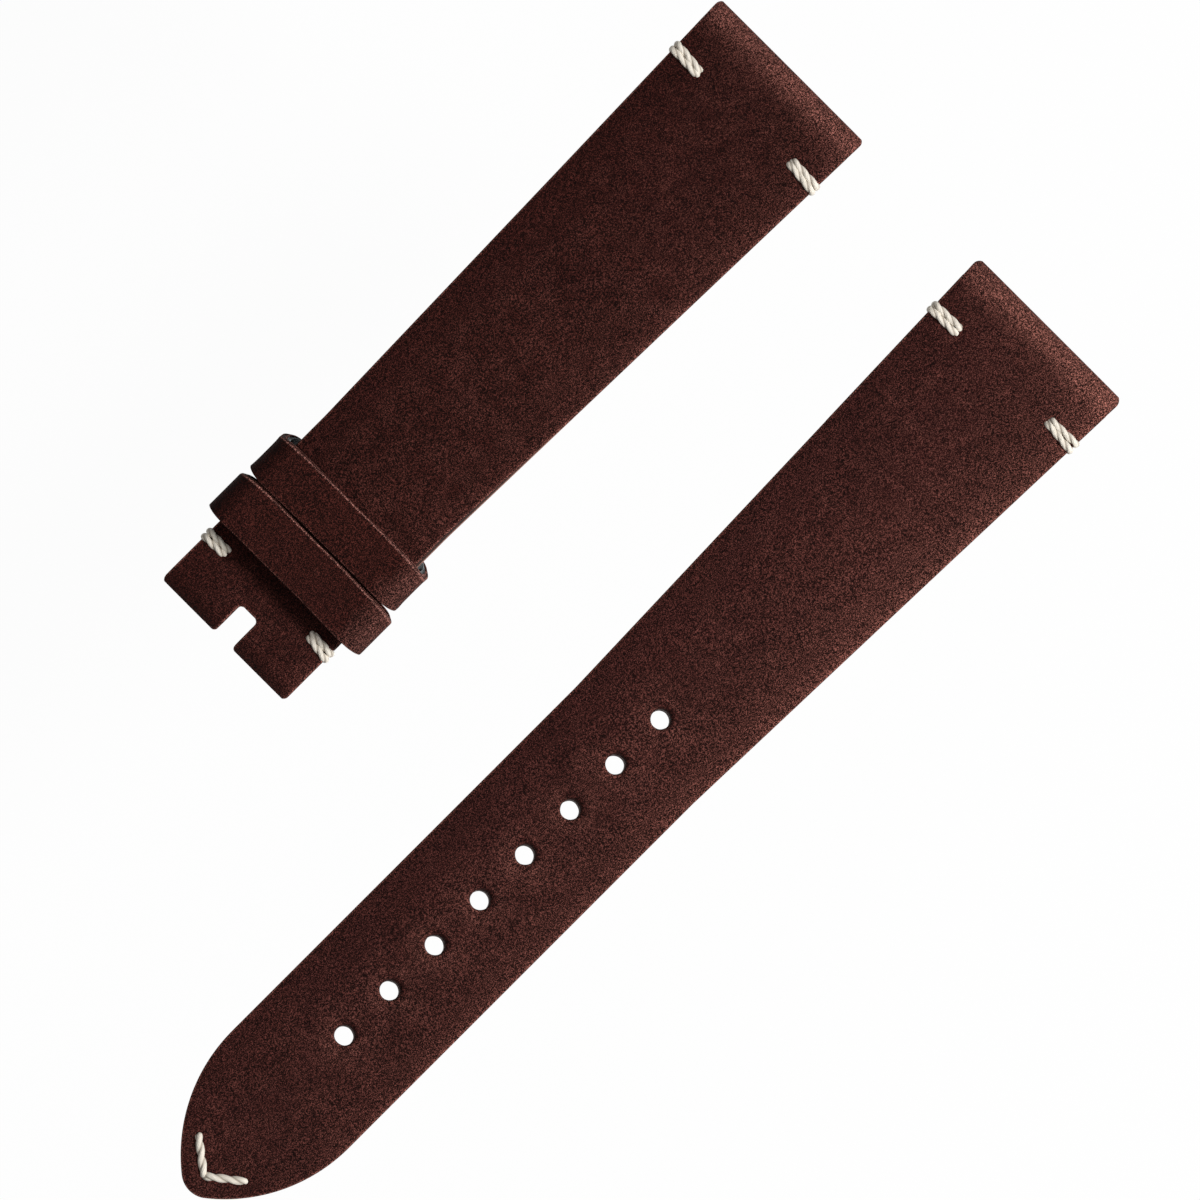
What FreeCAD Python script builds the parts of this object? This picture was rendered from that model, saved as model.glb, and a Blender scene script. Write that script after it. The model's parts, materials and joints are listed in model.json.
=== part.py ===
import FreeCAD, Part
import math
import os

# Leather watch strap in two separate halves, lying side by side with their lug ends level.
# X runs along the strap towards the watch, Y across it, Z up from the surface it lies on.
# The origin is the middle of the base of the whole. All sizes are in millimetres.

# The two halves
lug_width = 20.0                # of both halves, at the ends that fit the watch
long_length = 120.0
long_tail_width = 16.3          # past the taper
long_taper_length = 58.0        # from the lug end
short_length = 79.3
short_tail_width = 17.0         # past the taper, up to the buckle
short_taper_length = 56.5       # from the lug end
half_spacing = 36.0             # between the centre lines of the two halves

# Corners and the pointed tip
long_lug_corner_radius = 0.8
short_lug_corner_radius = 0.5
buckle_corner_radius = 0.4
tip_length = 14.1
tip_nose_radius = 2.6

# Leather layers
lining_thickness = 0.8          # also of the skived leather round the folded ends
upper_thickness = 1.4
stay_thickness = 0.2            # woven tape let into the underside of the upper
stay_inset = 1.6                # from each edge of the strap

# Folded ends, which hold the bars
lug_bore_radius = 1.0
lug_pad_length = 22.0           # from the lug end to where the strap is down to its plain thickness
lug_flap_length = 10.0          # of the turned-under leather, from the lug end
lug_stay_start = 7.0            # from the lug end
buckle_bore_radius = 0.85
buckle_stay_start = 5.4         # from the buckle end
buckle_pad_step = 0.5           # from the flap's end to where the strap is down to its plain thickness
filler_cover = math.radians(60)  # how far round a bore its filler reaches, each way from level

# Tongue slot in the buckle end
slot_width = 2.4
slot_depth = 3.76
slot_corner_radius = 0.5

# Holes for the buckle's tongue
hole_count = 8
hole_radius = 1.0
first_hole = 21.54              # from the tip
hole_pitch = 6.29

# Keepers; each start is that of the top edge
keeper_leather = 0.65
keeper_lining = 0.4
keeper_corner_radius = 2.3      # outside, at the top
keeper_foot_radius = 1.2        # outside, at the bottom
keeper_lean = 0.75              # how much nearer to the buckle the top stands than the bottom
fixed_keeper_start = 8.2        # from the buckle end
fixed_keeper_length = 5.15
fixed_keeper_width = 20.9
fixed_keeper_play = 0.5         # above the two strap thicknesses that it holds
free_keeper_gap = 0.3           # from the fixed keeper
free_keeper_length = 4.8
free_keeper_width = 20.05
free_keeper_play = 0.4
free_keeper_clearance = 0.1     # under the strap
recess_clearance = 0.1          # beside the fixed keeper's strip in the underside

# Thread
thread_radius = 0.35
thread_lay = 0.66               # between the two turns of a side stitch
thread_corner_radius = 0.45
thread_proud = 0.33             # on the top and at the edge
thread_proud_under = 0.25
lug_stitch_place = 6.65         # from the lug end
lug_stitch_hole = 6.3           # from the centre line
buckle_stitch_place = 6.3       # from the buckle end
buckle_stitch_hole = 5.8
tip_thread_radius = 0.4
thread_swell = 0.03             # where two legs share a hole
tip_stitch_point = 2.06         # from the tip
tip_stitch_end = 4.55
tip_stitch_spread = 3.25        # of each leg's end, from the centre line

# Bend lines, where the layers are divided so that the strap can curl towards the wrist
bend_margin = 1.0               # from the end of a lug's pad to the first bend line
short_section = 19.0            # between the two bend lines of the short half
holes_per_section = 3           # between the bend lines of the long half
bend_gap = 0.1

# Places worked out from the sizes above
strap_thickness = lining_thickness + upper_thickness
stay_top = lining_thickness + stay_thickness
keeper_wall = keeper_leather + keeper_lining
keeper_top = 2 * strap_thickness + fixed_keeper_play + keeper_wall
lug_x = long_length / 2
tip_x = lug_x - long_length
buckle_x = lug_x - short_length
short_reach = max(fixed_keeper_width / 2, lug_width / 2 + thread_proud)
long_reach = lug_width / 2 + thread_proud
short_y = (half_spacing - short_reach + long_reach) / 2
long_y = short_y - half_spacing
short_z = free_keeper_clearance + lining_thickness
long_z = thread_proud_under
wide = 2 * lug_width            # of solids that are trimmed to the plan afterwards
tall = 4 * keeper_top
strip_start = fixed_keeper_start + keeper_lean * (1 - lining_thickness / keeper_top)
strip_end = fixed_keeper_start + fixed_keeper_length + keeper_lean
buckle_flap_length = strip_start - recess_clearance
buckle_pad_length = buckle_flap_length + buckle_pad_step
buckle_lining_start = strip_end + recess_clearance
hole_places = [first_hole + index * hole_pitch for index in range(hole_count)]
lug_section = lug_pad_length + bend_margin


def line(a, b):
    return Part.LineSegment(a, b).toShape()


def arc(start, middle, end):
    return Part.Arc(start, middle, end).toShape()


def extruded(edges, depth):
    """Solid from edges that close into one face, along the vector depth."""
    wire = Part.Wire(Part.sortEdges(edges)[0])
    return Part.Face(wire).extrude(depth)


def rounded_corner(before, corner, after, radius):
    """Start, middle and end of the arc that rounds a corner of an outline."""
    back = (before - corner).normalize()
    onward = (after - corner).normalize()
    half = back.getAngle(onward) / 2
    reach = radius / math.tan(half)
    outward = (back + onward).normalize() * -1
    middle = corner - outward * (radius / math.sin(half) - radius)
    return corner + back * reach, middle, corner + onward * reach


def rounded_outline(points, radii):
    """Edges of a closed outline in order, from the end of the first corner's rounding."""
    count = len(points)
    bends = []
    for index, corner in enumerate(points):
        if radii[index] > 0:
            after = points[(index + 1) % count]
            bends.append(rounded_corner(points[index - 1], corner, after, radii[index]))
        else:
            bends.append((corner, None, corner))
    edges = []
    for index in range(count):
        start, middle, end = bends[(index + 1) % count]
        edges.append(line(bends[index][2], start))
        if middle:
            edges.append(arc(start, middle, end))
    return edges


def side_view(end_x, inward, base_z):
    """Gives the point at a distance inward from one end of a half and a height on its underside."""
    def place(distance, height):
        return FreeCAD.Vector(end_x + inward * distance, -wide, base_z + height)
    return place


def side_solid(edges):
    return extruded(edges, FreeCAD.Vector(0, 2 * wide, 0))


def touch_point(radius, bore_radius, end):
    """Where a line from the end of a pad touches a circle round its bore, on the upper side."""
    centre = bore_radius + lining_thickness
    run = end[0] - centre
    rise = end[1] - centre
    angle = math.atan2(rise, run) + math.acos(radius / math.hypot(run, rise))
    return centre + radius * math.cos(angle), centre + radius * math.sin(angle)


def fold_edges(place, bore_radius, pad_length, flap_length):
    """Side view of the upper where it turns round a bore and back under itself."""
    radius = bore_radius + lining_thickness
    crown = touch_point(radius, bore_radius, (pad_length, strap_thickness))
    roof = touch_point(bore_radius, bore_radius, (pad_length, stay_top))
    return [
        line(place(pad_length, strap_thickness), place(*crown)),
        arc(place(*crown), place(0, radius), place(radius, 0)),
        line(place(radius, 0), place(flap_length, 0)),
        line(place(flap_length, 0), place(flap_length, lining_thickness)),
        line(place(flap_length, lining_thickness), place(radius, lining_thickness)),
        arc(place(radius, lining_thickness), place(lining_thickness, radius), place(*roof)),
        line(place(*roof), place(pad_length, stay_top)),
        line(place(pad_length, stay_top), place(pad_length, lining_thickness)),
    ]


def filler_edges(place, bore_radius, pad_length):
    """Side view of the wedge behind a bore, between the upper and what it is turned under to."""
    centre = bore_radius + lining_thickness
    roof = touch_point(bore_radius, bore_radius, (pad_length, stay_top))
    front = centre + bore_radius * math.cos(filler_cover)
    rise = bore_radius * math.sin(filler_cover)
    slope = (roof[1] - stay_top) / (pad_length - roof[0])
    front_top = stay_top + slope * (pad_length - front)
    return [
        arc(place(front, centre - rise), place(centre + bore_radius, centre), place(front, centre + rise)),
        line(place(front, centre + rise), place(front, front_top)),
        line(place(front, front_top), place(pad_length, stay_top)),
        line(place(pad_length, stay_top), place(pad_length, lining_thickness)),
        line(place(pad_length, lining_thickness), place(front, lining_thickness)),
        line(place(front, lining_thickness), place(front, centre - rise)),
    ]


def pad_height(distance, bore_radius, pad_length):
    """Height of the top of a padded end at a distance from that end."""
    crown = touch_point(bore_radius + lining_thickness, bore_radius, (pad_length, strap_thickness))
    slope = (crown[1] - strap_thickness) / (pad_length - crown[0])
    return strap_thickness + slope * (pad_length - distance)


def layer(place, start, end, low, high):
    """Plain flat layer between two distances from an end."""
    corners = [place(start, low), place(end, low), place(end, high), place(start, high)]
    return side_solid(rounded_outline(corners, [0, 0, 0, 0]))


def long_plan(inset=0.0):
    """The long half from above as a tall solid, drawn in from its edge by inset."""
    def point(x, y):
        return FreeCAD.Vector(x, long_y + y, -tall)
    lug_half = lug_width / 2 - inset
    tail_half = long_tail_width / 2 - inset
    nose = tip_nose_radius
    length = tip_length - inset
    side_radius = (length ** 2 - 2 * length * nose + tail_half ** 2) / (2 * (tail_half - nose))
    taper_x = lug_x - long_taper_length
    arch_x = tip_x + tip_length
    centre_y = tail_half - side_radius
    lean = math.atan2(-centre_y, nose - length)
    halfway = (lean + math.pi / 2) / 2
    touch_x = arch_x + side_radius * math.cos(lean)
    touch_y = centre_y + side_radius * math.sin(lean)
    side_x = arch_x + side_radius * math.cos(halfway)
    side_y = centre_y + side_radius * math.sin(halfway)
    edges = [arc(point(touch_x, -touch_y), point(tip_x + inset, 0), point(touch_x, touch_y))]
    for side in (-1, 1):
        taper = point(taper_x, side * tail_half)
        arch = point(arch_x, side * tail_half)
        start, middle, end = rounded_corner(
            point(lug_x, 0), point(lug_x, side * lug_half), taper, long_lug_corner_radius)
        edges.append(line(point(lug_x, 0), start))
        edges.append(arc(start, middle, end))
        edges.append(line(end, taper))
        edges.append(line(taper, arch))
        edges.append(arc(arch, point(side_x, side * side_y), point(touch_x, side * touch_y)))
    return extruded(edges, FreeCAD.Vector(0, 0, 2 * tall))


def short_plan(inset=0.0):
    """The short half from above as a tall solid, with its tongue slot."""
    def point(x, y):
        return FreeCAD.Vector(x, short_y + y, -tall)
    lug_half = lug_width / 2 - inset
    tail_half = short_tail_width / 2 - inset
    slot_half = slot_width / 2 + inset
    taper_x = lug_x - short_taper_length
    slot_x = buckle_x + slot_depth + inset
    one_side = [(lug_x, lug_half), (taper_x, tail_half), (buckle_x, tail_half),
                (buckle_x, slot_half), (slot_x, slot_half)]
    one_radii = [short_lug_corner_radius, 0, buckle_corner_radius, buckle_corner_radius, slot_corner_radius]
    points = [point(x, y) for x, y in one_side] + [point(x, -y) for x, y in reversed(one_side)]
    radii = one_radii + one_radii[::-1]
    return extruded(rounded_outline(points, radii), FreeCAD.Vector(0, 0, 2 * tall))


def thread(corners, radius):
    """Thread of round section along straight runs that turn square corners in small arcs."""
    pieces = []
    start = corners[0]
    for before, corner, after in zip(corners, corners[1:], corners[2:]):
        back = (before - corner).normalize() * thread_corner_radius
        onward = (after - corner).normalize() * thread_corner_radius
        turn = corner + back
        run = turn - start
        pieces.append(Part.makeCylinder(radius, run.Length, start, run))
        section = Part.Face(Part.Wire(Part.makeCircle(radius, turn, run)))
        pieces.append(section.revolve(turn + onward, run.cross(onward), 90))
        start = corner + onward
    run = corners[-1] - start
    pieces.append(Part.makeCylinder(radius, run.Length, start, run))
    return pieces[0].multiFuse(pieces[1:]).removeSplitter().Solids[0]


def side_stitches(x, centre_y, hole, edge, base_z, top):
    """Left and right stitch: two turns of thread, side by side, through a hole and round the edge."""
    inner_y = centre_y + hole
    outer_y = centre_y + edge + thread_proud - thread_radius
    middle_y = (inner_y + outer_y) / 2
    low = base_z + thread_radius - thread_proud_under
    high = base_z + top + thread_proud - thread_radius
    turns = []
    for lay in (-thread_lay / 2, thread_lay / 2):
        path = [(middle_y, low), (outer_y, low), (outer_y, high), (inner_y, high), (inner_y, low), (middle_y, low)]
        turns.append(thread([FreeCAD.Vector(x + lay, y, z) for y, z in path], thread_radius))
    left = turns[0].fuse(turns[1]).removeSplitter().Solids[0]
    right = left.mirror(FreeCAD.Vector(x, centre_y, base_z), FreeCAD.Vector(0, 1, 0))
    return {"left": left, "right": right}


def tip_stitch():
    """One thread in two legs that leave the same hole and spread away from the tip."""
    low = long_z + tip_thread_radius - thread_proud_under
    high = long_z + strap_thickness + thread_proud - tip_thread_radius
    point_x = tip_x + tip_stitch_point
    end_x = tip_x + tip_stitch_end
    foot = FreeCAD.Vector(point_x, long_y, low)
    head = FreeCAD.Vector(point_x, long_y, high)
    legs = []
    for side in (-1, 1):
        end_y = long_y + side * tip_stitch_spread
        legs.append(thread([foot, FreeCAD.Vector(end_x, end_y, low), FreeCAD.Vector(end_x, end_y, high), head],
                           tip_thread_radius))
    post = Part.makeCylinder(tip_thread_radius - thread_swell, high - low, foot)
    knuckles = [Part.makeSphere(tip_thread_radius + thread_swell, place) for place in (foot, head)]
    return legs[0].multiFuse([legs[1], post] + knuckles).Solids[0]


def edge_place(distance, plan_taper, tail_width):
    """Distance of the strap's edge from its centre line, at a distance from the lug end."""
    share = min(distance / plan_taper, 1.0)
    return (lug_width + share * (tail_width - lug_width)) / 2


def keeper_block(half_width, low, high, corner_radius, foot_radius):
    """Long block with the section of a keeper's outside or inside."""
    def point(y, z):
        return FreeCAD.Vector(buckle_x - tall, short_y + y, short_z + z)
    points = [point(-half_width, low), point(half_width, low), point(half_width, high), point(-half_width, high)]
    radii = [foot_radius, foot_radius, corner_radius, corner_radius]
    return extruded(rounded_outline(points, radii), FreeCAD.Vector(2 * tall + short_length, 0, 0))


def keeper(start, length, width, low, play):
    """Leather and lining of a keeper, whose ends lean towards the buckle at the top."""
    high = 2 * strap_thickness + play + keeper_wall
    foot_leather = lining_thickness - keeper_lining
    outside = keeper_block(width / 2, low, high, keeper_corner_radius, keeper_foot_radius)
    between = keeper_block(width / 2 - keeper_leather, low + foot_leather, high - keeper_leather,
                           keeper_corner_radius - keeper_leather, keeper_foot_radius - foot_leather)
    inside = keeper_block(width / 2 - keeper_wall, low + lining_thickness, high - keeper_wall,
                          keeper_corner_radius - keeper_wall, keeper_foot_radius - lining_thickness)

    place = side_view(buckle_x + start, 1, short_z)
    lean_low = keeper_lean * (1 + tall / keeper_top)
    lean_high = keeper_lean * (1 - tall / keeper_top)
    ends = side_solid(rounded_outline(
        [place(lean_low, -tall), place(lean_low + length, -tall),
         place(lean_high + length, tall), place(lean_high, tall)], [0, 0, 0, 0]))
    return outside.cut(between).common(ends), between.cut(inside).common(ends)


def main_solid(shape):
    """The shape without the crumbs that thread cuts off at a sharp edge."""
    return max(shape.Solids, key=lambda solid: solid.Volume)


def sections(shape, limits):
    """Solids of a layer between neighbouring limits along X, with the bend gap between them."""
    parts = []
    for low, high in zip(limits, limits[1:]):
        corner = FreeCAD.Vector(low + bend_gap / 2, -2 * wide, -tall)
        cell = Part.makeBox(high - low - bend_gap, 4 * wide, 2 * tall, corner)
        parts.append(main_solid(shape.common(cell)))
    return parts


def long_half():
    """Nodes of the long half, from its lug end to its tip."""
    place = side_view(lug_x, -1, long_z)
    plan = long_plan()
    upper = side_solid(fold_edges(place, lug_bore_radius, lug_pad_length, lug_flap_length) + [
        line(place(lug_pad_length, strap_thickness), place(long_length, strap_thickness)),
        line(place(long_length, strap_thickness), place(long_length, lining_thickness)),
        line(place(long_length, lining_thickness), place(lug_pad_length, lining_thickness)),
    ]).common(plan)
    filler = side_solid(filler_edges(place, lug_bore_radius, lug_pad_length)).common(plan)
    lining = layer(place, lug_flap_length, long_length, 0, lining_thickness).common(plan)
    stay = layer(place, lug_stay_start, long_length, lining_thickness, stay_top).common(long_plan(stay_inset))

    stitches = {}
    stitch_edge = edge_place(lug_stitch_place, long_taper_length, long_tail_width)
    stitch_top = pad_height(lug_stitch_place, lug_bore_radius, lug_pad_length)
    pair = side_stitches(lug_x - lug_stitch_place, long_y, lug_stitch_hole, stitch_edge, long_z, stitch_top)
    for side, stitch in pair.items():
        stitches["long_lug_stitch_" + side] = stitch
    stitches["long_tip_stitch"] = tip_stitch()

    cutters = list(stitches.values())
    for distance in hole_places:
        foot = FreeCAD.Vector(tip_x + distance, long_y, -tall)
        cutters.append(Part.makeCylinder(hole_radius, 2 * tall, foot))

    bends = [hole_places[0] - hole_pitch / 2]
    while bends[-1] < hole_places[-1]:
        bends.append(bends[-1] + holes_per_section * hole_pitch)
    names = ["tip"] + ["holes_%d" % index for index in range(1, len(bends))] + ["body", "lug"]
    bends.append(long_length - lug_section)
    limits = [tip_x - wide] + [tip_x + bend for bend in bends] + [lug_x + wide]
    nodes = {"long_lug_filler": main_solid(filler.cut(stay).cut(cutters))}
    nodes.update(stitches)
    for layer_name, shape in (("upper", upper.cut(stay)), ("lining", lining), ("stay", stay)):
        for name, part in zip(names, sections(shape.cut(cutters), limits)):
            nodes["long_" + layer_name + "_" + name] = part
    return nodes


def short_half():
    """Nodes of the short half, from its lug end to the buckle end, with its keepers."""
    place = side_view(lug_x, -1, short_z)
    from_buckle = side_view(buckle_x, 1, short_z)
    plan = short_plan()
    fold = fold_edges(place, lug_bore_radius, lug_pad_length, lug_flap_length)
    buckle_fold = fold_edges(from_buckle, buckle_bore_radius, buckle_pad_length, buckle_flap_length)
    body = [line(place(lug_pad_length, height), from_buckle(buckle_pad_length, height))
            for height in (strap_thickness, lining_thickness)]
    upper = side_solid(fold + buckle_fold + body).common(plan)
    lug_filler = side_solid(filler_edges(place, lug_bore_radius, lug_pad_length)).common(plan)
    buckle_filler = side_solid(filler_edges(from_buckle, buckle_bore_radius, buckle_pad_length)).common(plan)
    lining_length = short_length - buckle_lining_start
    stay_length = short_length - buckle_stay_start
    lining = layer(place, lug_flap_length, lining_length, 0, lining_thickness).common(plan)
    stay = layer(place, lug_stay_start, stay_length, lining_thickness, stay_top).common(short_plan(stay_inset))

    stitches = {}
    lug_edge = edge_place(lug_stitch_place, short_taper_length, short_tail_width)
    lug_top = pad_height(lug_stitch_place, lug_bore_radius, lug_pad_length)
    buckle_top = pad_height(buckle_stitch_place, buckle_bore_radius, buckle_pad_length)
    pairs = {
        "lug": side_stitches(lug_x - lug_stitch_place, short_y, lug_stitch_hole, lug_edge, short_z, lug_top),
        "buckle": side_stitches(buckle_x + buckle_stitch_place, short_y, buckle_stitch_hole,
                                short_tail_width / 2, short_z, buckle_top),
    }
    for end, pair in pairs.items():
        for side, stitch in pair.items():
            stitches["short_" + end + "_stitch_" + side] = stitch

    cutters = list(stitches.values())
    limits = [buckle_x - wide, lug_x - lug_section - short_section, lug_x - lug_section, lug_x + wide]
    names = ["buckle", "middle", "lug"]
    nodes = {
        "short_lug_filler": main_solid(lug_filler.cut(stay).cut(cutters)),
        "short_buckle_filler": main_solid(buckle_filler.cut(stay).cut(cutters)),
    }
    nodes.update(stitches)
    for layer_name, shape in (("upper", upper.cut(stay)), ("lining", lining), ("stay", stay)):
        for name, part in zip(names, sections(shape.cut(cutters), limits)):
            nodes["short_" + layer_name + "_" + name] = part

    nodes["fixed_keeper_leather"], nodes["fixed_keeper_lining"] = keeper(
        fixed_keeper_start, fixed_keeper_length, fixed_keeper_width, 0, fixed_keeper_play)
    nodes["free_keeper_leather"], nodes["free_keeper_lining"] = keeper(
        fixed_keeper_start + fixed_keeper_length + free_keeper_gap, free_keeper_length,
        free_keeper_width, -short_z, free_keeper_play)
    return nodes


os.makedirs("parts", exist_ok=True)
for half in (short_half(), long_half()):
    for node, shape in half.items():
        shape.exportStep("parts/" + node + ".step")
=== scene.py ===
import json
import math

import bmesh
import bpy
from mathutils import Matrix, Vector, noise


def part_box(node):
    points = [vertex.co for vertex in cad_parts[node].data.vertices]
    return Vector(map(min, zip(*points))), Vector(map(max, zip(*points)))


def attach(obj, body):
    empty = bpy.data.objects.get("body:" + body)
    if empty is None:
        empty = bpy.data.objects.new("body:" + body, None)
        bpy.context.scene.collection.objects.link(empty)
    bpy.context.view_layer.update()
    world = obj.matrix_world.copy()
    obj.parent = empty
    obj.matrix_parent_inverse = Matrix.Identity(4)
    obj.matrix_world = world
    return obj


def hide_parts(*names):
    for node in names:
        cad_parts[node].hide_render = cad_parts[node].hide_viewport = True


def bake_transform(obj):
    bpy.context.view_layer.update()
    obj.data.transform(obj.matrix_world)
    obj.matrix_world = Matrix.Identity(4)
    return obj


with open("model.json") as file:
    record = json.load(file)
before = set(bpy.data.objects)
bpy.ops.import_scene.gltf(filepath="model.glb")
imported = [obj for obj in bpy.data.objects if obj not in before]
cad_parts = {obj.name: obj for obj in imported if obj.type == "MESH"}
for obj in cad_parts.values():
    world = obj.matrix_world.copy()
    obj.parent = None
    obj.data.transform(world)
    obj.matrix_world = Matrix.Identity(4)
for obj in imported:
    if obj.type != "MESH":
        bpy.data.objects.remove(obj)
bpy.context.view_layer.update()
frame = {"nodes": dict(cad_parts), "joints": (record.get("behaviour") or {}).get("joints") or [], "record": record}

# Lengths are in metres. The strap lies in two halves along X, with their lug ends towards +X.
mm = 0.001
joints = {joint["name"]: joint for joint in frame["joints"]}
mounts = {mount["name"]: mount for mount in frame["record"]["mounts"]}

# Outlines that the solids' boxes don't give
lug_corner = {"long": 0.35 * mm, "short": 0.2 * mm}
taper_length = {"long": 58.0 * mm, "short": 56.5 * mm}
buckle_corner = 0.2 * mm
tip_length = 14.1 * mm
tip_nose = 2.6 * mm
slot_half = 1.2 * mm
slot_depth = 3.76 * mm
slot_corner = 0.5 * mm
stay_inset = 1.6 * mm
buckle_pad_step = 0.5 * mm      # how much sooner the buckle flap ends than its filler

# Softness of the leather, which the solids leave plain
arris = 0.22 * mm               # radius at the top edges of the upper
seam = 0.1 * mm                 # radius at the glue line between upper and lining
under_arris = 0.2 * mm          # at the bottom edges of the lining
crown_width = 2.4 * mm          # over which the face falls away towards its edges
crown_drop = 0.15 * mm
dome_drop = 0.2 * mm            # of the edges below the middle of the face
roll_reach = 3.8 * mm           # over which the face rolls down to a folded end
roll_drop = 0.5 * mm
pad_softness = 3.0 * mm         # over which a pad runs out into the plain strap
swell = 0.035 * mm              # of the face's slow unevenness
swell_length = 9.0 * mm
edge_creep = 0.3 * mm           # how far the lining shows past the upper beside the keepers
creep_reach = 22.0 * mm
creep_start = 25.0 * mm         # place along the short half
dent_reach = 5.0 * mm           # from a stitch hole to where its thread presses no more
thread_dent = 0.1 * mm          # under a run of thread
thread_dent_width = 1.1         # in widths of the run
hole_dent = 0.12 * mm           # at a stitch hole
hole_dent_radius = 0.6 * mm

# Wear of the face, which makes it paler, with painted highlight and painted shade along its edges and at the
# holes, and the distance over which each kind fades
plain_wear = 0.1
fold_wear = 0.62                # where the leather is stretched round the lug bore
fold_wear_place = 1.1 * mm      # from the end
fold_wear_spread = 1.4 * mm
lug_wear, lug_wear_fade = 0.2, 3.0 * mm
# painted highlight along the right arris, which faces the lamp
right_arris_painted_highlight, right_arris_highlight_fade = 0.3, 0.4 * mm
right_edge_painted_highlight = {"long": 0.55, "short": 0.2}    # painted highlight along the right edge, which faces the lamp, at the lug end
right_edge_highlight_fade = 3.4 * mm
right_edge_highlight_limits = 0.1, 0.75    # least and most share of it along the half
left_painted_shade, left_painted_shade_fade = 0.12, 3.0 * mm    # painted shade along the left edge, which faces away from the lamp
rim_painted_highlight, rim_highlight_fade = 0.85, 0.45 * mm   # painted highlight on a hole's rim, on its side away from the lugs, where its wall faces the lamp
halo_wear, halo_wear_fade = 0.3, 1.1 * mm   # all round a hole
halo_reach = 3.0 * mm
face_edge_wear = 0.1, 0.8       # of a rounded edge at the face: at its ends, and more midway
back_edge_wear = 0.05, 0.6
slot_edge_wear = 0.5, 0.4
slot_back_wear = 0.2

# Holes
punch_slant = 0.17              # of the holes, towards the lug end at the face
punch_unevenness = 0.035 * mm
punch_waves = 1.4               # of the unevenness, round the wall
hole_band = 1.64 * mm           # half the side of the square of leather around a hole
# Rims from the face down: radius beyond the hole, depth, and paleness that is kept only on the side away from the
# lugs, as painted highlight
upper_rim = [(0.5 * mm, 0.0, 0.25), (0.3 * mm, 0.015 * mm, 0.5), (0.2 * mm, 0.06 * mm, 0.8),
             (0.12 * mm, 0.16 * mm, 0.7), (0.05 * mm, 0.34 * mm, 0.3), (0.0, 0.6 * mm, 0.0)]
plain_rim = [(0.05 * mm, 0.0, 0.0), (0.0, 0.06 * mm, 0.0)]
back_rim = [(0.0, 0.1 * mm), (0.04 * mm, 0.0)]      # radius beyond the hole and height

# Meshes
grid_step = 0.4 * mm
fold_step = math.radians(8)
nose_steps = 12                 # round one side of the tip's nose
band_columns = 4                # each side of the centre line, beside a hole or the slot
edge_columns = 19               # from there to the edge
corner_steps = 5                # of each rounded edge
weld = 0.002 * mm               # distance at which two points become one
face_count = 2 * (band_columns + edge_columns) + 1
side_count = 2 * corner_steps
ring_size = 2 * (face_count + side_count)
block_left = edge_columns       # columns that a hole or the slot is cut between
block_right = edge_columns + 2 * band_columns

# Thread
thread_radius = {"lug": 0.38 * mm, "buckle": 0.38 * mm, "tip": 0.43 * mm}
thread_lay = {"lug": 2.5 * mm, "buckle": 2.3 * mm, "tip": 3.1 * mm}    # length of one twist
thread_step = 0.07 * mm
thread_sides = 28
thread_turn = {"side": 0.6 * mm, "tip": 0.45 * mm}     # radius where it turns a corner
thread_swelling = 0.04          # of its own radius
thread_swelling_length = 0.9 * mm
ply_waist = 0.6                 # radius in the groove between two plies, against the thread's
ply_roundness = 0.8
# width of the painted shade in the groove between plies, as an angle round the thread
groove_shade_width = math.radians(20)
fibre_stretch = 0.12            # scale of the fibres along the thread, against across
second_run_twist = 1.9          # radians by which a second run is turned about itself
tip_gap = 0.2 * mm              # of each run from the middle of the hole near the tip
# How each side stitch lies: how far its end at the edge leans away from the lugs, and how far
# each of its two turns lies from its middle, at the hole and at the edge
stitch_lie = {
    "short_lug_stitch_left": (-0.22 * mm, 0.26 * mm, 0.34 * mm),
    "short_lug_stitch_right": (0.26 * mm, 0.24 * mm, 0.34 * mm),
    "long_lug_stitch_left": (0.06 * mm, 0.36 * mm, 0.32 * mm),
    "long_lug_stitch_right": (0.12 * mm, 0.24 * mm, 0.44 * mm),
    "short_buckle_stitch_left": (0.02 * mm, 0.30 * mm, 0.36 * mm),
    "short_buckle_stitch_right": (0.28 * mm, 0.26 * mm, 0.38 * mm),
}


def kept(value, low=0, high=1):
    """A number kept between two others."""
    return min(max(value, low), high)


def eased(share):
    """A share from 0 to 1 that starts and ends gently."""
    return share * share * (3 - 2 * share)


def corner_loss(distance, radius):
    """How far a rounded plan corner draws the edge in, at a distance from the end."""
    if distance >= radius:
        return 0
    return radius - math.sqrt(max(radius ** 2 - (radius - distance) ** 2, 0))


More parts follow.
